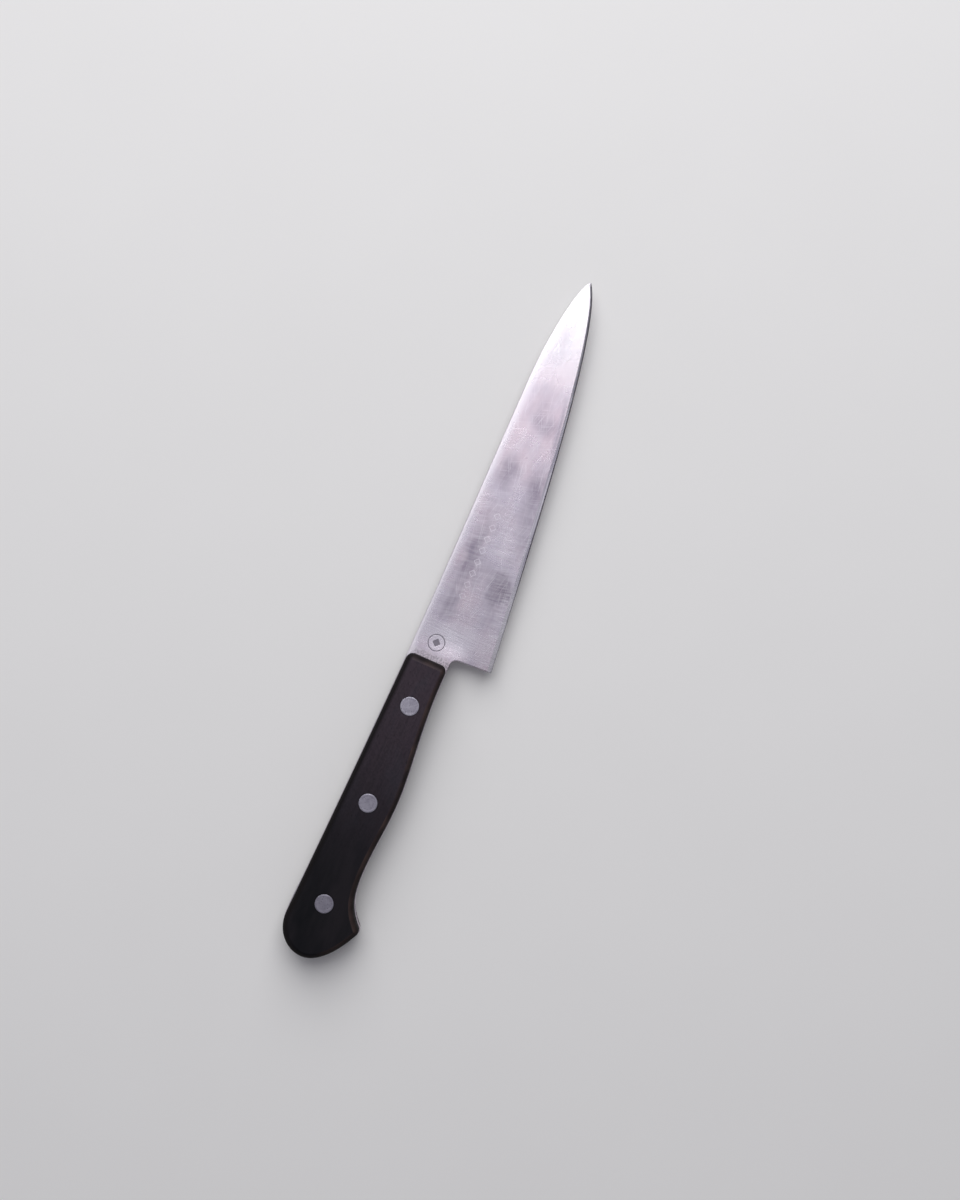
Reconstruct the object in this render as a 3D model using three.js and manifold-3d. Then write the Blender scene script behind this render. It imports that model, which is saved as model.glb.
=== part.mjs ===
// A boning knife with a full tang and riveted handle scales, lying on its left side.
// Millimetres, +Z up. The pieces are drawn with x running forward from the front of the
// scales to the tip, y running up from the edge to the spine, and z = 0 in the middle of the
// steel. The last lines set the knife down, with the middle of its box over the origin.
import * as THREE from "three";
import { mergeVertices } from "three/addons/utils/BufferGeometryUtils.js";
import Module from "manifold-3d";

// Blade
const BLADE_LENGTH = 150; // heel corner to tip, in a straight line
const HEEL_DEPTH = 31.6; // spine line down to the heel corner
const HEEL_REACH = 4.6; // front of the scales forward to the heel corner
const HEEL_LEAN = 3.5; // degrees that the heel line leans back as it rises
const TIP_DROP = 6.9; // spine line down to the tip
const SPINE_RUN = 44.6; // length over which the spine falls to the tip
const SPINE_SLOPE_AT_TIP = 64; // degrees
const EDGE_SLOPE_AT_HEEL = 6.2; // degrees
const EDGE_SLOPE_AT_TIP = 35.5; // degrees
const TIP_THICKNESS = 0.6; // of the spine, just before the tip
const SPINE_EASE = 0.3; // chamfer that takes the sharpness off the spine
const BEVEL_WIDTH = 1.8; // sharpened bevel beside the edge
const SHOULDER_THICKNESS = 0.5; // steel where the bevel meets the ground face
const CHOIL_RADIUS = 2.6; // inside corner between the neck and the heel
const NECK_LENGTH = 1.6; // unground steel in front of the scales
const PLUNGE_LENGTH = 1.8; // run from the full neck thickness to the ground face

// Tang and handle outline
const TANG_THICKNESS = 2;
const HANDLE_LENGTH = 119.4; // front of the scales back to the butt
const FRONT_DEPTH = 16.3; // handle depth at its front
const BELLY_DEPTH = 19.6; // spine line down to the palm swell
const BELLY_FROM_FRONT = 53.7;
const WAIST_DEPTH = 18.2; // spine line down to the hollow for the little finger
const WAIST_FROM_BUTT = 38;
const HOOK_DEPTH = 26.1; // spine line down to the corner of the butt hook
const HOOK_FROM_BUTT = 17.1;
const HOOK_RADIUS = 2.6;
const SPINE_RISE = 2.5; // how far the handle's back has risen at the butt
const BUTT_SHOULDER = 13.4; // length of the rounding at the top of the butt
const BUTT_BACK_DEPTH = 9.3; // spine line down to the rearmost point of the butt

// Control points of the outlines' curves, as shares of the lengths that they belong to
const BACK_BEND = { along: 0.47, rise: 0.3 }; // handle's back, from the butt's shoulder forward
const BUTT_TOP_BEND = { back: 0.57, rise: 1.1, drop: 0.3 };
const BUTT_REAR_BEND = { drop: 0.43, forward: 0.24, rise: 0.12 };
const WAIST_BEND = { start: 0.2, end: 0.42, rise: 0.68 };
const BELLY_BEND = { start: 0.4, end: 0.6 };
const FRONT_BEND = { start: 0.28, end: 0.58 };
const LEVEL_UNDERSIDE = 0.12; // of the run from the belly to the front
const SPINE_BEND = { start: 0.5, end: 0.53 }; // of the spine's run, and of the tip's drop
const EDGE_BEND = { start: 0.57, end: 0.1 }; // of the blade's length
const HOOK_ENTRY = { back: 4, rise: 2 }; // lines on which the butt hook's rounding lies
const HOOK_EXIT = { angle: 42, length: 4 };

// Limits near the tip, where the blade runs out, as shares of its depth or half thickness
const EASE_LIMIT = { depth: 0.15, half: 0.6 };
const BEVEL_LIMIT = 0.4; // of the depth
const SHOULDER_LIMIT = 0.7; // of the half thickness

// Scales
const SCALE_THICKNESS = 6.4;
const SCALE_CORNER = 3; // radius of the two front corners
const SCALE_ROUNDING = 1.6; // width of the rounding around the outer face
const SCALE_ROUNDING_HEIGHT = 3; // and how far down the side it runs
const SCALE_INSET = 0.3; // tang that shows beyond the scale all round
const BED_GAP = 0.1; // glue line between tang and scale

// Two-part rivets
const HEAD_DIAMETER = 7.1;
const HEAD_THICKNESS = 2;
const SLEEVE_DIAMETER = 4.8;
const PIN_DIAMETER = 3.2;
const FIRST_RIVET_FROM_FRONT = 18.3;
const LAST_RIVET_FROM_BUTT = 21.9;
const MIDDLE_RIVET_PLACE = 0.49; // share of the way from the first rivet to the last
const RIVET_DEPTHS = [8.9, 9.3, 9.5]; // spine line down to each rivet, front to rear
const SEAT_CLEARANCE = 0.1; // round the heads and sleeves, in the scales
const TANG_HOLE_CLEARANCE = 0.3; // round the sleeves, in the tang
const PIN_CLEARANCE = 0.05; // round the pins, in the sleeves
const PIN_END_GAP = 0.5; // air past the end of a pin or a sleeve

// Fineness of the faceted surfaces
const OUTLINE_SEGMENTS = 14; // per curve of an outline
const CURVE_SAMPLES = 400; // points that stand for the spine and edge curves
const ROUND_SEGMENTS = 48; // per turn of a rivet or a hole
const STATION_STEP = 3; // between sections along the straight of the blade
const TIP_STATIONS = 30; // sections along the falling part of the spine
const PLUNGE_STATIONS = 6;

const TIP_X = HEEL_REACH + Math.sqrt(BLADE_LENGTH ** 2 - (HEEL_DEPTH - TIP_DROP) ** 2);
const TANG_HALF = TANG_THICKNESS / 2;
const SCALE_INNER = TANG_HALF + BED_GAP;
const SCALE_OUTER = SCALE_INNER + SCALE_THICKNESS;

const wasm = await Module();
wasm.setup();

// A closed three.js geometry as a manifold-3d solid.
function solidOf(geometry) {
  const bare = geometry.index ? geometry.toNonIndexed() : geometry.clone();
  bare.deleteAttribute("normal");
  bare.deleteAttribute("uv");
  const merged = mergeVertices(bare, 1e-4);
  const corners = merged.index.array;
  const kept = [];
  for (let i = 0; i < corners.length; i += 3) {
    const [a, b, c] = [corners[i], corners[i + 1], corners[i + 2]];
    if (a !== b && b !== c && c !== a) kept.push(a, b, c);
  }
  return new wasm.Manifold(
    new wasm.Mesh({
      numProp: 3,
      vertProperties: merged.attributes.position.array,
      triVerts: new Uint32Array(kept),
    }),
  );
}

// A manifold-3d solid as a named three.js mesh.
function meshOf(name, solid, material) {
  const { vertProperties, triVerts } = solid.getMesh();
  const geometry = new THREE.BufferGeometry();
  geometry.setAttribute("position", new THREE.BufferAttribute(vertProperties, 3));
  geometry.setIndex(new THREE.BufferAttribute(triVerts, 1));
  geometry.computeVertexNormals();
  const mesh = new THREE.Mesh(geometry, material);
  mesh.name = name;
  return mesh;
}

// A slab of an outline, from z = -half to z = half.
function slabOf(shape, half) {
  const depth = 2 * half;
  const geometry = new THREE.ExtrudeGeometry(shape, {
    depth,
    bevelEnabled: false,
    curveSegments: OUTLINE_SEGMENTS,
  });
  return solidOf(geometry.translate(0, 0, -half));
}

// A solid of revolution about z, from a profile of [radius, z] pairs that starts and ends on it.
function turned(profile) {
  const points = profile.map(([radius, z]) => new THREE.Vector2(radius, z));
  const geometry = new THREE.LatheGeometry(points, ROUND_SEGMENTS);
  return solidOf(geometry.rotateX(Math.PI / 2));
}

// Unit vector at an angle in degrees above +x.
function heading(degrees) {
  const angle = THREE.MathUtils.degToRad(degrees);
  return new THREE.Vector2(Math.cos(angle), Math.sin(angle));
}

// Runs a path up to a corner and round it on an arc, to leave towards the next point.
function roundCorner(path, corner, next, radius) {
  const back = path.currentPoint.clone().sub(corner).normalize();
  const onward = next.clone().sub(corner).normalize();
  const halfAngle = Math.acos(back.dot(onward)) / 2;
  const reach = radius / Math.tan(halfAngle);
  const toCentre = back.clone().add(onward).setLength(radius / Math.sin(halfAngle));
  const centre = corner.clone().add(toCentre);
  const start = corner.clone().addScaledVector(back, reach);
  const end = corner.clone().addScaledVector(onward, reach);
  const startAngle = Math.atan2(start.y - centre.y, start.x - centre.x);
  const endAngle = Math.atan2(end.y - centre.y, end.x - centre.x);
  path.absarc(centre.x, centre.y, radius, startAngle, endAngle, back.cross(onward) > 0);
}

// The handle's side view, from its top front corner round the butt to its bottom front corner.
function handleOutline(front, cornerRadius) {
  const butt = -HANDLE_LENGTH;
  const hook = new THREE.Vector2(butt + HOOK_FROM_BUTT, -HOOK_DEPTH);
  const waist = new THREE.Vector2(butt + WAIST_FROM_BUTT, -WAIST_DEPTH);
  const belly = new THREE.Vector2(-BELLY_FROM_FRONT, -BELLY_DEPTH);
  const shoulder = new THREE.Vector2(butt + BUTT_SHOULDER, SPINE_RISE);
  const topFront = new THREE.Vector2(front, 0);
  const bottomFront = new THREE.Vector2(front, -FRONT_DEPTH);
  const outline = new THREE.Shape();
  outline.moveTo(front, -FRONT_DEPTH / 2);
  if (cornerRadius > 0) {
    roundCorner(outline, topFront, new THREE.Vector2(butt, 0), cornerRadius);
  } else {
    outline.lineTo(topFront.x, topFront.y);
  }
  outline.quadraticCurveTo(
    shoulder.x * BACK_BEND.along, SPINE_RISE * BACK_BEND.rise,
    shoulder.x, shoulder.y,
  );
  outline.bezierCurveTo(
    shoulder.x - BUTT_SHOULDER * BUTT_TOP_BEND.back, SPINE_RISE * BUTT_TOP_BEND.rise,
    butt, -BUTT_BACK_DEPTH * BUTT_TOP_BEND.drop,
    butt, -BUTT_BACK_DEPTH,
  );
  const hookEntry = hook.clone().add(new THREE.Vector2(-HOOK_ENTRY.back, HOOK_ENTRY.rise));
  outline.bezierCurveTo(
    butt, THREE.MathUtils.lerp(-BUTT_BACK_DEPTH, -HOOK_DEPTH, BUTT_REAR_BEND.drop),
    hookEntry.x - HOOK_FROM_BUTT * BUTT_REAR_BEND.forward,
    hookEntry.y + HOOK_FROM_BUTT * BUTT_REAR_BEND.rise,
    hookEntry.x, hookEntry.y,
  );
  const hookExit = hook.clone().addScaledVector(heading(HOOK_EXIT.angle), HOOK_EXIT.length);
  roundCorner(outline, hook, hookExit, HOOK_RADIUS);
  outline.bezierCurveTo(
    THREE.MathUtils.lerp(hookExit.x, waist.x, WAIST_BEND.start),
    THREE.MathUtils.lerp(hookExit.y, waist.y, WAIST_BEND.rise),
    THREE.MathUtils.lerp(hookExit.x, waist.x, WAIST_BEND.end), waist.y,
    waist.x, waist.y,
  );
  outline.bezierCurveTo(
    THREE.MathUtils.lerp(waist.x, belly.x, BELLY_BEND.start), waist.y,
    THREE.MathUtils.lerp(waist.x, belly.x, BELLY_BEND.end), belly.y,
    belly.x, belly.y,
  );
  const levelStart = belly.x * LEVEL_UNDERSIDE;
  outline.bezierCurveTo(
    THREE.MathUtils.lerp(belly.x, levelStart, FRONT_BEND.start), belly.y,
    THREE.MathUtils.lerp(belly.x, levelStart, FRONT_BEND.end), -FRONT_DEPTH,
    levelStart, -FRONT_DEPTH,
  );
  if (cornerRadius > 0) {
    roundCorner(outline, bottomFront, new THREE.Vector2(front, 0), cornerRadius);
  } else {
    outline.lineTo(bottomFront.x, bottomFront.y);
  }
  outline.closePath();
  return outline;
}

// The blade's spine and edge, as lines of points from the neck to the tip.
function bladeLines() {
  const tip = new THREE.Vector2(TIP_X, -TIP_DROP);
  const heel = new THREE.Vector2(HEEL_REACH, -HEEL_DEPTH);
  const fallStart = new THREE.Vector2(TIP_X - SPINE_RUN, 0);
  const spine = new THREE.CubicBezierCurve(
    fallStart,
    new THREE.Vector2(fallStart.x + SPINE_RUN * SPINE_BEND.start, 0),
    tip.clone().addScaledVector(heading(-SPINE_SLOPE_AT_TIP), -TIP_DROP * SPINE_BEND.end),
    tip,
  );
  const edge = new THREE.CubicBezierCurve(
    heel,
    heel.clone().addScaledVector(heading(EDGE_SLOPE_AT_HEEL), BLADE_LENGTH * EDGE_BEND.start),
    tip.clone().addScaledVector(heading(EDGE_SLOPE_AT_TIP), -BLADE_LENGTH * EDGE_BEND.end),
    tip,
  );
  return {
    spine: spine.getPoints(CURVE_SAMPLES),
    edge: edge.getPoints(CURVE_SAMPLES),
  };
}

// Height of a line of points at x. Before its first point the line runs on straight.
function heightAt(points, x) {
  const after = points.findIndex((point) => point.x >= x);
  const i = Math.max(1, after < 0 ? points.length - 1 : after);
  const [a, b] = [points[i - 1], points[i]];
  return a.y + ((b.y - a.y) * (x - a.x)) / (b.x - a.x);
}

// Where the blade's sections stand, from under the scales to just short of the tip.
function bladeStations(spinePoints) {
  const stations = [-NECK_LENGTH, 0];
  for (let i = 0; i <= PLUNGE_STATIONS; i += 1) {
    stations.push(NECK_LENGTH + (PLUNGE_LENGTH * i) / PLUNGE_STATIONS);
  }
  const fallStart = spinePoints[0].x;
  const straight = fallStart - stations.at(-1);
  const steps = Math.ceil(straight / STATION_STEP);
  const first = stations.at(-1);
  for (let i = 1; i <= steps; i += 1) stations.push(first + (straight * i) / steps);
  for (let i = 1; i < TIP_STATIONS; i += 1) {
    const sample = Math.round((spinePoints.length - 1) * (i / TIP_STATIONS));
    stations.push(spinePoints[sample].x);
  }
  return stations;
}

// One section of the blade at x: down one face from the spine to the edge and up the other.
function bladeSection(x, lines) {
  const spine = heightAt(lines.spine, x);
  const edge = heightAt(lines.edge, x);
  const depth = spine - edge;
  const half = THREE.MathUtils.lerp(TANG_HALF, TIP_THICKNESS / 2, Math.max(0, x) / TIP_X);
  const ease = Math.min(SPINE_EASE, depth * EASE_LIMIT.depth, half * EASE_LIMIT.half);
  const bevel = Math.min(BEVEL_WIDTH, depth * BEVEL_LIMIT);
  const shoulder = Math.min(SHOULDER_THICKNESS / 2, half * SHOULDER_LIMIT);
  const ground = THREE.MathUtils.smoothstep(x, NECK_LENGTH, NECK_LENGTH + PLUNGE_LENGTH);
  const side = [
    [spine, half - ease],
    [spine - ease, half],
    [edge + bevel, THREE.MathUtils.lerp(half, shoulder, ground)],
    [edge, THREE.MathUtils.lerp(half, 0, ground)],
  ];
  const otherSide = side.map(([y, z]) => [y, -z]).reverse();
  return [...side, ...otherSide].map(([y, z]) => new THREE.Vector3(x, y, z));
}

// A skin over rings of points, closed by a fan over the first ring and a point past the last.
function loft(rings, end) {
  const corners = [];
  const count = rings[0].length;
  const all = [...rings, Array(count).fill(end)];
  for (let r = 0; r + 1 < all.length; r += 1) {
    for (let i = 0; i < count; i += 1) {
      const j = (i + 1) % count;
      corners.push(all[r][i], all[r][j], all[r + 1][j]);
      corners.push(all[r][i], all[r + 1][j], all[r + 1][i]);
    }
  }
  for (let i = 1; i + 1 < count; i += 1) corners.push(rings[0][0], rings[0][i + 1], rings[0][i]);
  return new THREE.BufferGeometry().setFromPoints(corners);
}

// The notch behind the heel: everything under the neck and behind the heel line.
function choilCutter() {
  const heel = new THREE.Vector2(HEEL_REACH, -HEEL_DEPTH);
  const up = heading(90 + HEEL_LEAN);
  const rise = (HEEL_DEPTH - FRONT_DEPTH) / up.y;
  const corner = heel.clone().addScaledVector(up, rise);
  const below = heel.clone().addScaledVector(up, -HEEL_DEPTH);
  const rear = -NECK_LENGTH - STATION_STEP;
  const cutter = new THREE.Shape();
  cutter.moveTo(rear, below.y);
  cutter.lineTo(below.x, below.y);
  roundCorner(cutter, corner, new THREE.Vector2(rear, -FRONT_DEPTH), CHOIL_RADIUS);
  cutter.lineTo(rear, -FRONT_DEPTH);
  cutter.closePath();
  return slabOf(cutter, TANG_THICKNESS);
}

// Rivet centres along the handle, front to rear.
function rivetPlaces() {
  const first = -FIRST_RIVET_FROM_FRONT;
  const last = -HANDLE_LENGTH + LAST_RIVET_FROM_BUTT;
  const along = [first, THREE.MathUtils.lerp(first, last, MIDDLE_RIVET_PLACE), last];
  return along.map((x, i) => new THREE.Vector2(x, -RIVET_DEPTHS[i]));
}

// Takes the same round hole out of a solid at every rivet.
function drilled(solid, hole) {
  return rivetPlaces().reduce((rest, { x, y }) => rest.subtract(hole.translate([x, y, 0])), solid);
}

function bladeWithTang() {
  const lines = bladeLines();
  const rings = bladeStations(lines.spine).map((x) => bladeSection(x, lines));
  const tip = new THREE.Vector3(TIP_X, -TIP_DROP, 0);
  const blade = solidOf(loft(rings, tip)).subtract(choilCutter());
  const tang = slabOf(handleOutline(NECK_LENGTH / 2, 0), TANG_HALF);
  const radius = SLEEVE_DIAMETER / 2 + TANG_HOLE_CLEARANCE;
  const reach = TANG_THICKNESS;
  const hole = turned([[0, -reach], [radius, -reach], [radius, reach], [0, reach]]);
  return drilled(blade.add(tang), hole);
}

// The scale on the +z side: a slab with a rounded outer edge, cut off at its inner face.
function scale() {
  const whole = new THREE.ExtrudeGeometry(handleOutline(0, SCALE_CORNER), {
    depth: 2 * (SCALE_OUTER - SCALE_ROUNDING_HEIGHT),
    bevelThickness: SCALE_ROUNDING_HEIGHT,
    bevelSize: SCALE_ROUNDING,
    bevelOffset: -SCALE_ROUNDING - SCALE_INSET,
    bevelSegments: 6,
    curveSegments: OUTLINE_SEGMENTS,
  });
  whole.translate(0, 0, SCALE_ROUNDING_HEIGHT - SCALE_OUTER);
  const reach = 3 * HANDLE_LENGTH;
  const waste = new THREE.BoxGeometry(reach, reach, reach);
  waste.translate(0, 0, SCALE_INNER - reach / 2);
  return drilled(solidOf(whole).subtract(solidOf(waste)), rivetSeat());
}

// The stepped hole that takes a sleeve, with its wide mouth on the +z side.
function rivetSeat() {
  const sleeve = SLEEVE_DIAMETER / 2 + SEAT_CLEARANCE;
  const head = HEAD_DIAMETER / 2 + SEAT_CLEARANCE;
  const floor = SCALE_OUTER - HEAD_THICKNESS - SEAT_CLEARANCE;
  const above = SCALE_OUTER + HEAD_THICKNESS;
  return turned([[0, 0], [sleeve, 0], [sleeve, floor], [head, floor], [head, above], [0, above]]);
}

// The hollow half of a rivet, with its head in the right scale.
function rivetSleeve() {
  const shank = SLEEVE_DIAMETER / 2;
  const head = HEAD_DIAMETER / 2;
  const bore = PIN_DIAMETER / 2 + PIN_CLEARANCE;
  const open = -(SCALE_OUTER - HEAD_THICKNESS - PIN_END_GAP);
  const underHead = SCALE_OUTER - HEAD_THICKNESS;
  return turned([
    [0, underHead], [bore, underHead], [bore, open], [shank, open],
    [shank, underHead], [head, underHead], [head, SCALE_OUTER], [0, SCALE_OUTER],
  ]);
}

// The solid half of a rivet, with its head in the left scale.
function rivetPin() {
  const pin = PIN_DIAMETER / 2;
  const head = HEAD_DIAMETER / 2;
  const end = SCALE_OUTER - HEAD_THICKNESS - PIN_END_GAP;
  const overHead = -SCALE_OUTER + HEAD_THICKNESS;
  return turned([
    [0, -SCALE_OUTER], [head, -SCALE_OUTER], [head, overHead], [pin, overHead], [pin, end], [0, end],
  ]);
}

const steel = new THREE.MeshStandardMaterial({ color: 0xc9c5cb, metalness: 1, roughness: 0.35 });
const wood = new THREE.MeshStandardMaterial({ color: 0x2e2729, metalness: 0, roughness: 0.5 });
const alloy = new THREE.MeshStandardMaterial({ color: 0xa8a6af, metalness: 1, roughness: 0.45 });

const knife = new THREE.Group();
knife.add(meshOf("blade_and_tang", bladeWithTang(), steel));
knife.add(meshOf("right_scale", scale(), wood));
knife.add(meshOf("left_scale", scale().mirror([0, 0, 1]), wood));
rivetPlaces().forEach(({ x, y }, i) => {
  const place = ["front", "middle", "rear"][i];
  const sleeve = meshOf(`${place}_rivet_sleeve`, rivetSleeve(), alloy);
  const pin = meshOf(`${place}_rivet_pin`, rivetPin(), alloy);
  sleeve.position.set(x, y, 0);
  pin.position.set(x, y, 0);
  knife.add(sleeve, pin);
});

const box = new THREE.Box3().setFromObject(knife);
const middle = box.getCenter(new THREE.Vector3());
knife.position.set(-middle.x, -middle.y, -box.min.z);
const part = new THREE.Group();
part.add(knife);

export default part;
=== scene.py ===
import math

import bpy
import numpy as np
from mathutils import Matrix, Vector


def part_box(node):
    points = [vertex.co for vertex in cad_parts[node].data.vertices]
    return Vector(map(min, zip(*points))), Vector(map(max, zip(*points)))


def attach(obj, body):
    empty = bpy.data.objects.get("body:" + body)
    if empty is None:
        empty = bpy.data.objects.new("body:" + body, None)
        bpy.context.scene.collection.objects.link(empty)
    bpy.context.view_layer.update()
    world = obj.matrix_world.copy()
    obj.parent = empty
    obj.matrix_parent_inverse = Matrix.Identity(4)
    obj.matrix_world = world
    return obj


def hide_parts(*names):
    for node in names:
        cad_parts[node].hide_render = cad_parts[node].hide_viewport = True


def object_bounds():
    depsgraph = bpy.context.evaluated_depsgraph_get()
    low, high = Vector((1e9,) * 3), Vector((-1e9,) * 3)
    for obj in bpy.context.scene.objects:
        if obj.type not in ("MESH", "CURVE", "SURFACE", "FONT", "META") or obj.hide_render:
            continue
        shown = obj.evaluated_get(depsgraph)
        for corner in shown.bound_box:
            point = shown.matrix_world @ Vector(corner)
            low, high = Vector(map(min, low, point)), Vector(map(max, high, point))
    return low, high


# A boning knife lying on its left side: blade and tang in one steel plate, two scales of
# resin-soaked laminated wood, and three two-part rivets. +X is the tip, +Y the spine, +Z up.
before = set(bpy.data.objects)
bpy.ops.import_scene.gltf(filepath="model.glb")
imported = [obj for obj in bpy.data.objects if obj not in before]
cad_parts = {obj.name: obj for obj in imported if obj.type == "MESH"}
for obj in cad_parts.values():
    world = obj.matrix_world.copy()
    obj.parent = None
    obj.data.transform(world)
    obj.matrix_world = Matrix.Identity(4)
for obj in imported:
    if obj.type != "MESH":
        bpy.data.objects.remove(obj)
cad_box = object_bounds()
MM = 0.001

# What the frame says
PLATE_LOW, PLATE_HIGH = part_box("blade_and_tang")
SCALE_LOW, SCALE_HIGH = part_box("right_scale")
MIDDLE = (PLATE_LOW.z + PLATE_HIGH.z) / 2  # height of the middle of the steel
PLATE_HALF = (PLATE_HIGH.z - PLATE_LOW.z) / 2
RIVETS = ("front", "middle", "rear")

# Meshes
TINY = 1e-7  # metres: an edge shorter than this is no edge
WELD = 1e-6  # metres: points closer than this are one point
ROUND_SIDES = 64  # sides of a drilled hole and of a rivet

# Blade
HEEL_DEPTH = 31.6 * MM  # from the spine down to the heel corner
SPINE_LEVEL = PLATE_LOW.y + HEEL_DEPTH  # the straight part of the spine
NECK_LENGTH = 1.9 * MM  # unground steel in front of the scales
NECK_DEPTH = 16.0 * MM  # below the spine
PLUNGE_LENGTH = 5.0 * MM  # run from the neck to the ground face, at the spine
PLUNGE_FADE = 4.0 * MM  # how much longer that run is at the choil
TIP_HALF = 0.3 * MM  # half the spine's thickness, just before the tip
SHOULDER_HALF = 0.25 * MM  # half the steel where the bevel starts
SHOULDER_MOST = 0.7  # but no more than this share of the spine's thickness
BEVEL_WIDTH = 1.7 * MM  # as far as BEVEL_EVEN in front of the scales
BEVEL_AT_TIP = 0.75 * MM
BEVEL_EVEN = 70 * MM
BURR_WIDTH = 0.3 * MM  # last, steeper stroke of the stone along the edge
BURR_HALF = 0.09 * MM
EASE = 0.38 * MM  # rounding of the spine, the choil and the tang
EASE_MOST = 0.6  # but no more than this share of half the steel
EASE_RINGS = (0.27, 0.46, 0.27)  # shares of the rounding, from the rim inwards
PAST_EASE = 0.1 * MM  # one more ring, on the flat
EDGE_RUN_ON = 20 * MM  # the edge's line goes on this far behind the heel
NEAR_SHOULDER = 4 * MM  # faces this far above the shoulder line may be cut by it
ON_LINE = 0.04 * MM  # a point this near a line is on it

# Cuts across the blade, for a mesh that follows its thickness
NECK_CUTS = (-1, 1.2, 1.9, 2.6, 3.4, 4.3, 5.3, 6.4, 7.6, 8.9, 10.3, 12)  # mm past the scales
BLADE_CUT_SPACING = 4 * MM
TANG_CUT_SPACING = 9 * MM
LENGTHWISE_CUTS = (3, 6, 9, 12, 14, 16, 18, 20, 22, 24.5)  # mm below the spine

# Scales
FRONT_REACH = 0.45 * MM  # the scales' front ends stand this much nearer the blade
FRONT_END = 4 * MM  # how long a front end is
ROUND_WIDTH = 2.15 * MM  # rounding beside the outer face
ROUND_HEIGHT = 2.9 * MM
ROUND_END = math.radians(76)  # the rounding stops short of flat, which leaves a crisp line
ROUND_STEPS = 8
FACE_SHIFT = 0.35 * MM  # the face sits this much nearer the edge side
CRISP_EDGE = 0.08 * MM
CRISP_DROP = 0.03 * MM
SCALE_CUT_SPACING = 8 * MM
AROUND_RIVET = 4 * MM  # no wear is marked nearer a rivet's middle than this
# the rounding's darkening is painted shade
ROUNDING_FADE = 0.22  # share of the rounding's height over which its darkening fades in

# Rivets, and the holes they go through
HEAD_GAP = 0.1 * MM
HEAD_DEPTH = 2 * MM
HEAD_SEAT_DEPTH = 2.1 * MM
RIM_ROUNDING = 0.16 * MM
SLEEVE_RADIUS = 2.4 * MM
PIN_RADIUS = 1.6 * MM
BORE_RADIUS = 1.65 * MM
SCALE_HOLE_RADIUS = 2.5 * MM
TANG_HOLE_RADIUS = 2.7 * MM
# steps inwards from the rim and down, in mm: they leave a faint ring on the head
FILED_RINGS = ((0.5, 0.0), (0.12, -0.012), (0.5, 0.012), (1.0, 0.0))

# Cloudy patches on the ground face, in mm: how far in front of the scales and below the
# spine, reach along and across the blade, and depth (below 0 for a paler one)
CLOUDS = (
    (34.6, 22.8, 10, 7, 0.8),
    (34.8, 22.8, 6.4, 5.4, 1.9),
    (38, 7.0, 25, 4.6, 0.82),
    (47.5, 6.6, 12, 3.6, 0.6),
    (38, 15, 8, 13, 0.55),
    (21, 7, 9, 4.5, 0.5),
    (59, 9, 14, 5, 0.3),
    (76, 6.8, 9, 6.5, 0.95),
    (74.5, 19.5, 11, 6.5, 1.1),
    (60, 22.5, 16, 7, 0.85),
    (96, 15, 6, 9, 0.55),
    (103, 9, 12, 10, 0.6),
    (7, 26, 7, 7, 0.25),
    (27, 22, 7, 7, 0.3),
    (11, 13, 9, 20, -1.1),
    (50, 17, 10, 6, -0.5),
    (86, 11, 8, 9, 0.1),
)

# Scratches in the steel: turn from the blade's length, and length in mm
SCRATCHES = ((-0.16, 24), (0.28, 12), (-0.42, 9), (1.2, 11))

# Etched marks, from the scales' front and down from the spine
MARK_ALONG, MARK_DOWN = 7.2 * MM, 8.4 * MM
MARK_RING = 3.1 * MM
MARK_LINE = 0.42 * MM
ROW_START, ROW_END, ROW_DOWN = 27 * MM, 59.2 * MM, 10.2 * MM
ROW_SPACING = 4.6 * MM
ROW_DIAMOND = 1.3 * MM
ROW_LINE = 0.4 * MM

# View, light and floor
FLOOR_SIZE = 6
VIEW_CENTRE = Vector((11.4 * MM, -2.2 * MM, MIDDLE))
VIEW_HEIGHT = 700 * MM
VIEW_SPAN = 446.2 * MM  # length at the steel that the view takes in, top to bottom
VIEW_TURN = math.radians(-66.15)
# the level direction that points straight up in the view
TIP_UP = Vector((-math.sin(VIEW_TURN), math.cos(VIEW_TURN), 0))


# ---------------------------------------------------------------- outlines from the frame


def simplified(points, tolerance):
    """The points of a line that it needs to stay within the tolerance of itself."""
    first, last = points[0], points[-1]
    chord = last - first
    away = points - first
    length = max(np.hypot(*chord), 1e-12)
    gap = np.abs(chord[0] * away[:, 1] - chord[1] * away[:, 0]) / length
    far = int(gap.argmax())
    if len(points) < 3 or gap[far] < tolerance:
        return np.array([first, last])
    head = simplified(points[: far + 1], tolerance)
    tail = simplified(points[far:], tolerance)
    return np.vstack([head[:-1], tail])


def silhouette(name):
    """The bottom and top lines of a CAD node seen from above, from butt to tip."""
    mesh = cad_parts[name].data
    flat = np.array([v.co for v in mesh.vertices])[:, :2]
    ends = flat[np.array([e.vertices for e in mesh.edges])]
    order = np.argsort(ends[:, :, 0], axis=1)
    ends = np.take_along_axis(ends, order[:, :, None], axis=1)
    start, end = ends[:, 0], ends[:, 1]
    low, high = [], []
    for x in np.unique(np.round(flat[:, 0], 7)):
        hit = (start[:, 0] <= x + TINY) & (end[:, 0] >= x - TINY)
        a, b = start[hit], end[hit]
        run = np.maximum(b[:, 0] - a[:, 0], 1e-9)
        y = a[:, 1] + (b[:, 1] - a[:, 1]) * np.clip((x - a[:, 0]) / run, 0, 1)
        upright = b[:, 0] - a[:, 0] < TINY
        y = np.concatenate([y, b[upright, 1]])
        low.append((x, y.min()))
        high.append((x, y.max()))
    return np.array(low), np.array(high)


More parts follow.
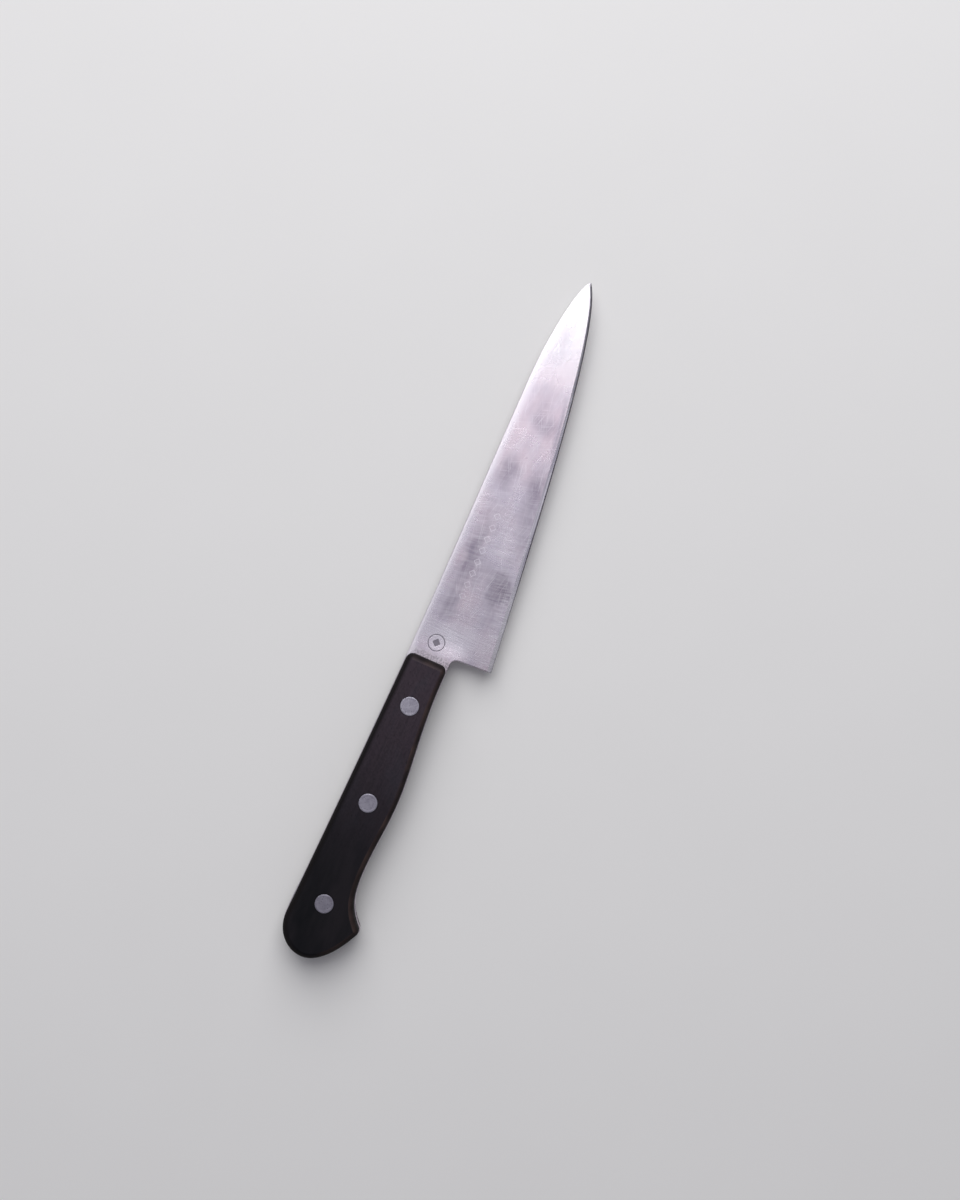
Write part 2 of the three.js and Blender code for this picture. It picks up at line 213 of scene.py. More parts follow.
def outline_of(name, tolerance=0.006 * MM, point=0.9 * MM):
    """A CAD node's outline seen from above, anticlockwise, with a plain point at its tip."""
    low, high = silhouette(name)
    low = simplified(low, tolerance)
    high = simplified(high, tolerance)[::-1]
    tip = low[-1]
    ring = np.vstack([low, high])
    keep = np.hypot(*(ring - np.roll(ring, 1, axis=0)).T) > WELD
    ring = smoothed(ring[keep])
    from_tip = np.hypot(*(ring - tip).T)
    return ring[(from_tip < TINY) | (from_tip > point)]


def smoothed(ring, corner=math.radians(14), longest=0.8 * MM):
    """The ring with points added on a curve through it wherever it bends gently."""
    count = len(ring)
    step = np.roll(ring, -1, axis=0) - ring
    length = np.hypot(*step.T)
    heading = np.arctan2(step[:, 1], step[:, 0])
    turn = (heading - np.roll(heading, 1) + math.pi) % (2 * math.pi) - math.pi
    points = []
    for i in range(count):
        j = (i + 1) % count
        points.append(ring[i])
        bends = 1e-4 < abs(turn[i]) < corner and 1e-4 < abs(turn[j]) < corner
        if not bends or length[i] < longest:
            continue
        leave = heading[i] - turn[i] * length[i] / (length[i] + length[i - 1])
        arrive = heading[i] + turn[j] * length[i] / (length[i] + length[j])
        out = length[i] * np.array([math.cos(leave), math.sin(leave)])
        into = length[i] * np.array([math.cos(arrive), math.sin(arrive)])
        pieces = min(4, math.ceil(length[i] / longest))
        for t in np.linspace(0, 1, pieces + 1)[1:-1]:
            points.append(
                (2 * t**3 - 3 * t**2 + 1) * ring[i]
                + (t**3 - 2 * t**2 + t) * out
                + (3 * t**2 - 2 * t**3) * ring[j]
                + (t**3 - t**2) * into
            )
    return np.array(points)


def flat_outline(name, height):
    """The outer outline, anticlockwise, of a CAD node's flat face at a height."""
    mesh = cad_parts[name].data
    sides = set()
    for face in mesh.polygons:
        if abs(face.normal.z) < 0.99 or abs(face.center.z - height) > WELD:
            continue
        corners = [tuple(round(c, 7) for c in mesh.vertices[i].co[:2]) for i in face.vertices]
        if face.normal.z < 0:
            corners.reverse()
        sides ^= {(a, b) for a, b in zip(corners, corners[1:] + corners[:1])}
    follows = {a: b for a, b in sides if (b, a) not in sides}
    start = min(follows)
    ring = [start]
    while follows[ring[-1]] != start:
        ring.append(follows[ring[-1]])
    return np.array(ring)


def distance_to(line, points):
    """How far each flat point is from a line of points."""
    a, b = line[:-1], line[1:]
    along = b - a
    squared = np.maximum((along**2).sum(1), 1e-18)
    share = ((points[:, None] - a) * along).sum(2) / squared
    near = a + np.clip(share, 0, 1)[:, :, None] * along
    return np.sqrt(((points[:, None] - near) ** 2).sum(2)).min(1)


# ---------------------------------------------------------------- working a mesh by hand


def begin(piece):
    """Opens a piece, and nothing else, in edit mode with all of it selected."""
    bpy.ops.object.select_all(action="DESELECT")
    bpy.context.view_layer.objects.active = piece
    piece.select_set(True)
    bpy.ops.object.mode_set(mode="EDIT")
    bpy.ops.mesh.select_mode(type="FACE")
    bpy.ops.mesh.select_all(action="SELECT")


def end():
    """Goes back to object mode, which writes the edits to the mesh."""
    bpy.ops.object.mode_set(mode="OBJECT")


def pick(piece, kind, wanted):
    """Selects only the vertices, edges or faces that wanted() says yes to."""
    bpy.ops.mesh.select_mode(type=kind)
    bpy.ops.mesh.select_all(action="DESELECT")
    bpy.ops.object.mode_set(mode="OBJECT")
    mesh = piece.data
    items = {"VERT": mesh.vertices, "EDGE": mesh.edges, "FACE": mesh.polygons}[kind]
    for item in items:
        item.select = bool(wanted(item))
    bpy.ops.object.mode_set(mode="EDIT")


def coords(piece):
    """A piece's vertices, one row of x, y and z for each."""
    return np.array([v.co for v in piece.data.vertices])


def modified(piece, kind, **settings):
    """Adds a modifier to a piece and applies it."""
    bpy.ops.object.select_all(action="DESELECT")
    bpy.context.view_layer.objects.active = piece
    piece.select_set(True)
    modifier = piece.modifiers.new(kind.lower(), kind)
    for name, value in settings.items():
        setattr(modifier, name, value)
    bpy.ops.object.modifier_apply(modifier=modifier.name)


def plate(name, ring, z):
    """A flat face with the outline's points, facing up."""
    bpy.ops.object.select_all(action="DESELECT")
    bpy.ops.mesh.primitive_circle_add(vertices=len(ring), radius=0.1, fill_type="NGON")
    piece = bpy.context.object
    piece.name = piece.data.name = name
    mesh = piece.data
    loop = list(mesh.polygons[0].vertices)
    for index, (x, y) in zip(loop, ring):
        mesh.vertices[index].co = (x, y, z)
    mesh.update()
    return piece


def crosscut(axis, places):
    """Cuts the piece that is open across an axis at each place, and leaves it whole."""
    normal = Vector((0, 0, 0))
    normal[axis] = 1
    for place in places:
        bpy.ops.mesh.select_all(action="SELECT")
        bpy.ops.mesh.bisect(plane_co=normal * place, plane_no=normal, threshold=TINY)


def tidy_shell():
    """Merges double points of the piece that is open, and turns its faces outwards."""
    bpy.ops.mesh.select_all(action="SELECT")
    bpy.ops.mesh.remove_doubles(threshold=WELD)
    bpy.ops.mesh.dissolve_degenerate(threshold=TINY)
    bpy.ops.mesh.select_all(action="SELECT")
    bpy.ops.mesh.normals_make_consistent(inside=False)


def smooth(piece, degrees):
    """Shades a piece smooth, apart from edges sharper than an angle."""
    bpy.ops.object.select_all(action="DESELECT")
    bpy.context.view_layer.objects.active = piece
    piece.select_set(True)
    bpy.ops.object.shade_smooth_by_angle(angle=math.radians(degrees))


def bored(piece, centre, radius, low, high):
    """Takes a round hole out of a piece."""
    bpy.ops.object.select_all(action="DESELECT")
    bpy.ops.mesh.primitive_cylinder_add(
        vertices=ROUND_SIDES,
        radius=radius,
        depth=high - low,
        location=(centre.x, centre.y, (low + high) / 2),
    )
    drill = bpy.context.object
    modified(piece, "BOOLEAN", operation="DIFFERENCE", solver="EXACT", object=drill)
    bpy.data.objects.remove(drill)


def rivet_centre(place):
    """The middle of a rivet's sleeve, by the rivet's place on the handle."""
    low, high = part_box(f"{place}_rivet_sleeve")
    return (low + high) / 2


def attribute(piece, name, values):
    """Stores a number for each vertex, for a material to read."""
    layer = piece.data.attributes.new(name, "FLOAT", "POINT")
    layer.data.foreach_set("value", np.asarray(values, np.float32))


def settle(piece, material):
    """Gives a finished piece its material and slot, and lets it ride with the knife."""
    piece.data.materials.clear()
    piece.data.materials.append(material)
    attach(piece, "root")


# ---------------------------------------------------------------- the blade and tang


def blade_lines():
    """The cutting edge, run on behind the heel, and the spine, both from back to tip."""
    low, high = silhouette("blade_and_tang")
    heel = int(low[:, 1].argmin())
    edge = simplified(low[heel:], 0.003 * MM)
    slope = (edge[1] - edge[0]) / (edge[1, 0] - edge[0, 0])
    edge = np.vstack([edge[0] - slope * EDGE_RUN_ON, edge])
    spine = simplified(high[high[:, 0] > SCALE_HIGH.x], 0.003 * MM)
    return edge, spine


def bevel_width(x):
    """How wide the bevel is at a place along the blade."""
    ends = (SCALE_HIGH.x + BEVEL_EVEN, PLATE_HIGH.x)
    return np.interp(x, ends, (BEVEL_WIDTH, BEVEL_AT_TIP))


def half_thickness(points, edge, spine):
    """Half the steel's thickness at each flat point."""
    x, y = points.T
    front = SCALE_HIGH.x
    spine_y = np.interp(x, *spine.T)
    edge_y = np.interp(x, *edge.T)
    along = np.clip((x - front) / (PLATE_HIGH.x - front), 0, 1)
    at_spine = PLATE_HALF + (TIP_HALF - PLATE_HALF) * along
    at_shoulder = np.minimum(SHOULDER_HALF, SHOULDER_MOST * at_spine)
    width = bevel_width(x)
    reach = np.maximum(spine_y - edge_y - width, 1e-6)
    across = np.clip((y - edge_y - width) / reach, 0, 1)
    ground = at_shoulder + (at_spine - at_shoulder) * across
    away = distance_to(edge, points)
    bevel = np.where(
        away < BURR_WIDTH,
        BURR_HALF * away / BURR_WIDTH,
        BURR_HALF
        + (at_shoulder - BURR_HALF) * (away - BURR_WIDTH) / (width - BURR_WIDTH),
    )
    ground = np.where(away < width, np.minimum(bevel, ground), ground)
    below = spine_y - y
    from_neck = np.hypot(
        np.maximum(x - front - NECK_LENGTH, 0), np.maximum(below - NECK_DEPTH, 0)
    )
    plunge = PLUNGE_LENGTH + PLUNGE_FADE * np.clip(below / NECK_DEPTH, 0, 1)
    run = np.clip(from_neck / plunge, 0, 1)
    blend = run * run * (3 - 2 * run)
    return PLATE_HALF + (ground - PLATE_HALF) * blend


def cut_shoulder(piece, edge, stations):
    """Cuts the line where the bevel starts, strip by strip between the stations."""
    slope = np.gradient(np.interp(stations, *edge.T), stations)
    rise = np.interp(stations, *edge.T) + bevel_width(stations) * np.sqrt(1 + slope**2)
    stations = np.append(edge[1, 0], stations)
    rise = np.append(rise[0] - slope[0] * (stations[1] - stations[0]), rise)
    for x0, x1, y0, y1 in zip(stations, stations[1:], rise, rise[1:]):
        top = max(y0, y1) + NEAR_SHOULDER
        pick(piece, "FACE", lambda f: x0 < f.center.x < x1 and f.center.y < top)
        across = Vector((y0 - y1, x1 - x0, 0)).normalized()
        bpy.ops.mesh.bisect(plane_co=(x0, y0, PLATE_HALF), plane_no=across, threshold=WELD)


def model_blade():
    """The steel: half of it shaped flat and raised to its thickness, then mirrored."""
    edge, spine = blade_lines()
    ring = outline_of("blade_and_tang")
    piece = plate("blade", ring, PLATE_HALF)
    begin(piece)
    for step in (*(share * EASE for share in EASE_RINGS), PAST_EASE):
        bpy.ops.mesh.inset(thickness=step, use_even_offset=True)
    front = SCALE_HIGH.x
    tang = np.arange(PLATE_LOW.x + 6 * MM, front - 3 * MM, TANG_CUT_SPACING)
    neck = front + np.array(NECK_CUTS) * MM
    blade = np.arange(neck[-1] + BLADE_CUT_SPACING, PLATE_HIGH.x, BLADE_CUT_SPACING)
    blade = np.append(blade, PLATE_HIGH.x)
    crosscut(0, [*tang, *neck, *blade[:-1]])
    crosscut(1, [spine[0, 1] - down * MM for down in LENGTHWISE_CUTS])
    cut_shoulder(piece, edge, [*neck[neck > edge[1, 0]], *blade])
    end()

    points = coords(piece)
    half = half_thickness(points[:, :2], edge, spine)
    rim = distance_to(np.vstack([ring, ring[:1]]), points[:, :2])
    from_edge = distance_to(edge[1:], points[:, :2])
    radius = np.minimum(EASE, EASE_MOST * half)
    inside = np.clip(radius - rim * radius / EASE, 0, radius)
    eased = half - radius + np.sqrt(radius**2 - inside**2)
    eased = np.where(from_edge < 0.9 * bevel_width(points[:, 0]), half, eased)
    for vertex, z in zip(piece.data.vertices, eased):
        vertex.co.z = z

    begin(piece)
    bpy.ops.mesh.select_mode(type="EDGE")
    bpy.ops.mesh.select_all(action="DESELECT")
    bpy.ops.mesh.select_non_manifold()
    bpy.ops.mesh.extrude_region_move(TRANSFORM_OT_translate={"value": (0, 0, 0)})
    bpy.ops.transform.resize(value=(1, 1, 0), center_override=(0, 0, 0))
    end()
    modified(
        piece,
        "MIRROR",
        use_axis=(False, False, True),
        use_mirror_merge=True,
        merge_threshold=WELD,
    )
    begin(piece)
    tidy_shell()
    bpy.ops.transform.translate(value=(0, 0, MIDDLE))
    end()
    for place in RIVETS:
        bored(piece, rivet_centre(place), TANG_HOLE_RADIUS, PLATE_LOW.z - MM, PLATE_HIGH.z + MM)
    smooth(piece, 35)

    points = coords(piece)
    from_edge = distance_to(edge[1:], points[:, :2])
    from_spine = distance_to(spine, points[:, :2])
    width = bevel_width(points[:, 0])
    attribute(piece, "from_edge", from_edge / MM)
    attribute(piece, "bevel_share", from_edge / width)
    attribute(piece, "from_spine", from_spine / MM)
    begin(piece)
    for line in (width, BURR_WIDTH):
        on_line = np.abs(from_edge - line) < ON_LINE
        pick(piece, "EDGE", lambda e: all(on_line[v] for v in e.vertices))
        bpy.ops.mesh.mark_sharp()
    end()
    modified(piece, "WEIGHTED_NORMAL", keep_sharp=True)
    return piece


# ---------------------------------------------------------------- the scales


def model_right_scale():
    """The upper scale: its outline raised, with a soft rounding up to a crisp outer face."""
    ring = flat_outline("right_scale", SCALE_LOW.z)
    ring[:, 0] += np.where(ring[:, 0] > SCALE_HIGH.x - FRONT_END, FRONT_REACH, 0)
    piece = plate("right_scale_wood", ring, SCALE_LOW.z)
    thickness = SCALE_HIGH.z - SCALE_LOW.z
    begin(piece)
    bpy.ops.mesh.extrude_region_move(
        TRANSFORM_OT_translate={"value": (0, 0, thickness - ROUND_HEIGHT)}
    )
    pick(piece, "FACE", lambda f: f.normal.z > 0.9 and f.center.z > SCALE_LOW.z + MM)
    turns = np.linspace(0, ROUND_END, ROUND_STEPS + 1)
    wide = (1 - np.cos(turns)) / (1 - math.cos(ROUND_END)) * ROUND_WIDTH
    tall = np.sin(turns) / math.sin(ROUND_END) * (ROUND_HEIGHT - CRISP_DROP)
    for inward, upward in zip(np.diff(wide), np.diff(tall)):
        bpy.ops.mesh.inset(thickness=inward, depth=upward, use_even_offset=True)
        bpy.ops.transform.translate(value=(0, -FACE_SHIFT / ROUND_STEPS, 0))
    bpy.ops.mesh.inset(thickness=CRISP_EDGE, depth=CRISP_DROP, use_even_offset=True)
    crosscut(0, np.arange(SCALE_LOW.x + 7 * MM, SCALE_HIGH.x - FRONT_END, SCALE_CUT_SPACING))
    tidy_shell()
    end()
    for place in RIVETS:
        low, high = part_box(f"{place}_rivet_sleeve")
        centre = (low + high) / 2
        head = (high.x - low.x) / 2 + HEAD_GAP
        bored(piece, centre, SCALE_HOLE_RADIUS, SCALE_LOW.z - MM, SCALE_HIGH.z + MM)
        bored(piece, centre, head, SCALE_HIGH.z - HEAD_SEAT_DEPTH, SCALE_HIGH.z + MM)
    return piece


def finish_scale(piece):
    """Smooths a scale, and marks its rounding, which the wood darkens as painted shade, and where
    fingers and the cloth have worn it, which along the front end's crease is also a painted
    highlight.
    """
    smooth(piece, 30)
    height = np.abs(coords(piece)[:, 2] - MIDDLE)
    outer = height.max()
    rounding = np.zeros(len(height))
    facing = np.zeros((len(height), 2))
    holes = [rivet_centre(place) for place in RIVETS]
    for polygon in piece.data.polygons:
        corners = list(polygon.vertices)
        clear = min((polygon.center.xy - hole.xy).length for hole in holes) > AROUND_RIVET
        if clear and abs(polygon.normal.z) < 0.99:
            rounding[corners] = 1
            facing[corners] += polygon.normal.xy
    facing /= np.maximum(np.hypot(*facing.T), 1e-6)[:, None]
    near_face = np.clip(1 - (outer - height) / ROUND_HEIGHT, 0, 1)
    # fingers and the cloth wear the front end and the edge side most, and the spine side least;
    # along the front end, which faces the window, this is also a painted highlight on the crease
    towards_fingers_and_light = np.clip(0.15 + 0.6 * facing[:, 0] - 0.8 * facing[:, 1], 0, 1)
    rounding[outer - height < CRISP_DROP / 2] = 0
    fade = np.clip((1 - near_face) / ROUNDING_FADE, 0, 1)
    attribute(piece, "rounding", rounding * fade)
    attribute(piece, "wear_and_painted_highlight", rounding * near_face**2 * towards_fingers_and_light)
    modified(piece, "WEIGHTED_NORMAL", keep_sharp=True)


def mirrored(piece, name):
    """A copy, with its own mesh, on the other side of the steel."""
    other = piece.copy()
    other.data = piece.data.copy()
    other.name = other.data.name = name
    bpy.context.scene.collection.objects.link(other)
    begin(other)
    bpy.ops.transform.resize(value=(1, 1, -1), center_override=(0, 0, MIDDLE))
    tidy_shell()
    end()
    return other


# ---------------------------------------------------------------- the rivets


def model_rivet(name, node, up):
    """One half of a rivet: a filed-flat head with a rounded rim, and its tube or pin."""
    low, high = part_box(node)
    centre = (low + high) / 2
    head = (high.x - low.x) / 2
    face = high.z if up > 0 else low.z
    shank = (high.z - low.z) - HEAD_DEPTH
    bpy.ops.object.select_all(action="DESELECT")
    bpy.ops.mesh.primitive_cylinder_add(
        vertices=ROUND_SIDES,
        radius=head,
        depth=HEAD_DEPTH,
        location=(centre.x, centre.y, face - up * HEAD_DEPTH / 2),
    )
    piece = bpy.context.object
    piece.name = piece.data.name = name
    bpy.ops.object.transform_apply(location=True, rotation=True, scale=True)
    begin(piece)
    pick(piece, "FACE", lambda f: f.normal.z * up > 0.9)
    bpy.ops.mesh.bevel(offset=RIM_ROUNDING, segments=3, affect="EDGES")
    pick(piece, "FACE", lambda f: f.normal.z * up > 0.99)
    for inward, downward in FILED_RINGS:
        bpy.ops.mesh.inset(thickness=inward * MM, depth=downward * MM)
    pick(piece, "FACE", lambda f: f.normal.z * up < -0.9)
    sleeve = node.endswith("sleeve")
    radius = SLEEVE_RADIUS if sleeve else PIN_RADIUS
    bpy.ops.mesh.inset(thickness=head - radius)
    bpy.ops.mesh.extrude_region_move(TRANSFORM_OT_translate={"value": (0, 0, -up * shank)})
    if sleeve:
        bpy.ops.mesh.inset(thickness=radius - BORE_RADIUS)
        bpy.ops.mesh.extrude_region_move(TRANSFORM_OT_translate={"value": (0, 0, up * shank)})
    tidy_shell()
    end()
    smooth(piece, 35)
    return piece


# ---------------------------------------------------------------- materials


def colour(code):
    """A hex sRGB colour as linear red, green, blue and alpha."""
    values = [int(code[i : i + 2], 16) / 255 for i in (1, 3, 5)]
    linear = [c / 12.92 if c <= 0.04045 else ((c + 0.055) / 1.055) ** 2.4 for c in values]
    return (*linear, 1.0)


def add(tree, kind, inputs=(), **settings):
    """Adds a node. inputs gives a value or another node's output for each socket."""
    new = tree.nodes.new("ShaderNode" + kind)
    for name, value in settings.items():
        setattr(new, name, value)
    for socket, value in dict(inputs).items():
        if isinstance(value, bpy.types.NodeSocket):
            tree.links.new(value, new.inputs[socket])
        else:
            new.inputs[socket].default_value = value
    return new


def begin_material(name, **shader):
    """An empty material with its shader and the surface coordinates in metres."""
    material = bpy.data.materials.new(name)
    material.use_nodes = True
    tree = material.node_tree
    tree.nodes.clear()
    principled = add(tree, "BsdfPrincipled", shader)
    add(tree, "OutputMaterial", {"Surface": principled.outputs[0]})
    place = add(tree, "TexCoord").outputs["Object"]
    return material, tree, principled, place


def grain(tree, place, spacing, turn=0.0, detail=2.0, low=0.0, high=1.0):
    """Marks of a given spacing in mm along x, y and z, as a number from 0 to 1.
    low and high are the noise values that become 0 and 1."""
    scale = [1 / (s * MM) for s in spacing]
    turned = add(tree, "Mapping", {"Vector": place, "Rotation": (0, 0, turn)})
    spread = add(tree, "Mapping", {"Vector": turned.outputs[0], "Scale": scale})
    noise = add(tree, "TexNoise", {"Vector": spread.outputs[0], "Scale": 1.0, "Detail": detail})
    limits = {"Value": noise.outputs[0], "From Min": low, "From Max": high}
    return add(tree, "MapRange", limits).outputs[0]


def worked(tree, operation, *values):
    """The result of arithmetic on numbers and outputs, taken from left to right."""
    result = values[0]
    for value in values[1:]:
        result = add(tree, "Math", {0: result, 1: value}, operation=operation).outputs[0]
    return result


def band(tree, value, start, end, from_value=1.0, to_value=0.0):
    """A number that goes smoothly from one value to another as value passes start to end."""
    inputs = {"Value": value, "From Min": start, "From Max": end}
    inputs.update({"To Min": from_value, "To Max": to_value})
    return add(tree, "MapRange", inputs, interpolation_type="SMOOTHSTEP").outputs[0]


def blended(tree, factor, one, other, mode="MIX"):
    """One colour going over to another by a factor."""
    inputs = {0: factor, 6: one, 7: other}
    return add(tree, "Mix", inputs, data_type="RGBA", blend_type=mode).outputs[2]


def patch(tree, place, centre, reach):
    """A soft oval patch, 1 in its middle and 0 past its reach (both in mm)."""
    centre = (centre[0] * MM, centre[1] * MM, 0)
    moved = add(tree, "VectorMath", {0: place, 1: centre}, operation="SUBTRACT").outputs[0]
    squash = (1 / (reach[0] * MM), 1 / (reach[1] * MM), 0)
    oval = add(tree, "VectorMath", {0: moved, 1: squash}, operation="MULTIPLY").outputs[0]
    far = add(tree, "VectorMath", {0: oval}, operation="LENGTH").outputs["Value"]
    return band(tree, far, 0.0, 1.15)


def etched_line(tree, far, size, width):
    """A line of a given width where far equals size, both in metres."""
    gap = worked(tree, "ABSOLUTE", worked(tree, "SUBTRACT", far, size), 0)
    return band(tree, gap, width * 0.35, width * 0.65)


def etched_mark(tree, place, centre):
    """A maker's plain mark, drawn for this knife: a diamond in a ring. 1 on its lines."""
    centre = (centre[0], centre[1], 0)
    moved = add(tree, "VectorMath", {0: place, 1: centre}, operation="SUBTRACT").outputs[0]
    flat = add(tree, "VectorMath", {0: moved, 1: (1, 1, 0)}, operation="MULTIPLY").outputs[0]
    far = add(tree, "VectorMath", {0: flat}, operation="LENGTH").outputs["Value"]
    size = add(tree, "VectorMath", {0: flat}, operation="ABSOLUTE").outputs[0]
    parts = add(tree, "SeparateXYZ", {0: size})
    slant = worked(tree, "ADD", parts.outputs[0], parts.outputs[1])
    ring = etched_line(tree, far, MARK_RING, MARK_LINE)
    diamond = band(tree, slant, 1.55 * MM, 1.75 * MM)
    return worked(tree, "MAXIMUM", ring, diamond)


def etched_row(tree, place, start, end, spacing):
    """A faint row of small diamonds from start to end. 1 on their lines."""
    parts = add(tree, "SeparateXYZ", {0: place})
    along = worked(tree, "SUBTRACT", parts.outputs[0], start[0])
    to_middle = worked(tree, "PINGPONG", along, spacing / 2)
    off_line = worked(tree, "ABSOLUTE", worked(tree, "SUBTRACT", parts.outputs[1], start[1]), 0)
    slant = worked(tree, "ADD", to_middle, off_line)
    diamond = etched_line(tree, slant, ROW_DIAMOND, ROW_LINE)
    past_start = band(tree, parts.outputs[0], start[0] - 1.7 * MM, start[0] - 1.6 * MM, 0, 1)
    before_end = band(tree, parts.outputs[0], end + 1.6 * MM, end + 1.7 * MM)
    return worked(tree, "MULTIPLY", diamond, past_start, before_end)


def cloudiness(tree, place):
    """How cloudy the ground steel is: above 0 where it is dull, below 0 where it is clear."""
    spacing = (170, 130, 100)  # swirls in a metre
    spread = add(tree, "VectorMath", {0: place, 1: spacing}, operation="MULTIPLY").outputs[0]
    swirl = add(tree, "TexNoise", {"Vector": spread, "Scale": 1.0, "Detail": 2.0}).outputs[1]
    push = add(tree, "VectorMath", {0: swirl, 1: (0.5, 0.5, 0.5)}, operation="SUBTRACT").outputs[0]
    push = add(tree, "VectorMath", {0: push, "Scale": 6 * MM}, operation="SCALE").outputs[0]
    ragged = add(tree, "VectorMath", {0: place, 1: push}).outputs[0]
    broken = grain(tree, place, (7, 5, 9), detail=3, low=0.25, high=0.75)
    cloudy = worked(tree, "MULTIPLY", worked(tree, "SUBTRACT", broken, 0.5), 0.35)
    for x, y, along, across, depth in CLOUDS:
        centre = (SCALE_HIGH.x / MM + x, SPINE_LEVEL / MM - y)
        spot = patch(tree, ragged, centre, (along, across))
        cloudy = add(tree, "Math", {0: spot, 1: depth, 2: cloudy}, operation="MULTIPLY_ADD")
        cloudy = cloudy.outputs[0]
    return cloudy


def thin_scratches(tree, place):
    """Long scratches in four directions, drawn wider than real ones so that they show."""
    scratch = 0.0
    for turn, length in SCRATCHES:
        lines = grain(tree, place, (length, 0.2, 9), turn=turn, detail=0, low=0.72, high=0.78)
        scratch = worked(tree, "MAXIMUM", scratch, lines)
    return scratch


def mottled_neck(tree, place, tipwards):
    """Where the unground neck is, and where the fine mottle on it is."""
    neck = band(tree, tipwards, 2.2 * MM, 3.6 * MM)
    pits = grain(tree, place, (0.7, 0.6, 0.6), detail=2, low=0.46, high=0.6)
    in_front = band(tree, tipwards, -1.2 * MM, -0.4 * MM, 0.0, 1.0)
    return neck, worked(tree, "MULTIPLY", pits, in_front)


def with_bevel(tree, steel, x, from_edge, bevel, at_heel):
    """The steel's colour with the bevel over it. The lines of the stone along it are drawn
    coarser than real ones. Near the heel the bevel is painted whiter and its last stroke
    bright, as a painted highlight; towards the tip the last stroke is a thin dark thread,
    a painted dark reflection."""
    outwards = worked(tree, "MULTIPLY", from_edge, MM)
    on_bevel = add(tree, "CombineXYZ", {0: x, 1: outwards}).outputs[0]
    honed = band(tree, x, SCALE_HIGH.x + 20 * MM, SCALE_HIGH.x + 60 * MM, 0.7, 0.9)
    stone = grain(tree, on_bevel, (26, 0.5, 5), detail=2, low=0.34, high=0.66)
    ground = blended(tree, stone, colour("#aaa5b3"), colour("#eae7ed"))
    # painted highlight: the bevel whiter near the heel
    ground = blended(tree, at_heel, ground, colour("#faf8fb"))
    steel = blended(tree, worked(tree, "MULTIPLY", bevel, honed), steel, ground)
    # the last stroke: a painted highlight near the heel, a painted dark reflection towards the tip
    bevel_edge_painted_light = blended(tree, at_heel, colour("#6b6672"), colour("#f4f2f5"))
    return blended(tree, band(tree, from_edge, 0.3, 0.45), steel, bevel_edge_painted_light)


def with_dark_streak(tree, steel, from_edge, tipwards):
    """The steel's colour, darker in a soft streak just above the bevel, on the front part of the
    blade.
    """
    dark_streak = worked(
        tree,
        "MULTIPLY",
        band(tree, from_edge, 1.3, 1.9, 0.0, 1.0),
        band(tree, from_edge, 2.2, 3.8),
        band(tree, tipwards, 82 * MM, 94 * MM, 0.0, 1.0),
        band(tree, tipwards, 102 * MM, 114 * MM),
    )
    return blended(tree, worked(tree, "MULTIPLY", dark_streak, 0.5), steel, colour("#8d8797"))


def etchings(tree, place, z):
    """Where the maker's mark and the row of diamonds are, on the upper side only."""
    front = SCALE_HIGH.x
    mark = etched_mark(tree, place, (front + MARK_ALONG, SPINE_LEVEL - MARK_DOWN))
    start = (front + ROW_START, SPINE_LEVEL - ROW_DOWN)
    row = etched_row(tree, place, start, front + ROW_END, ROW_SPACING)
    upper = band(tree, z, MIDDLE - 0.05 * MM, MIDDLE + 0.05 * MM, 0.0, 1.0)
    return worked(tree, "MULTIPLY", mark, upper), worked(tree, "MULTIPLY", row, upper)


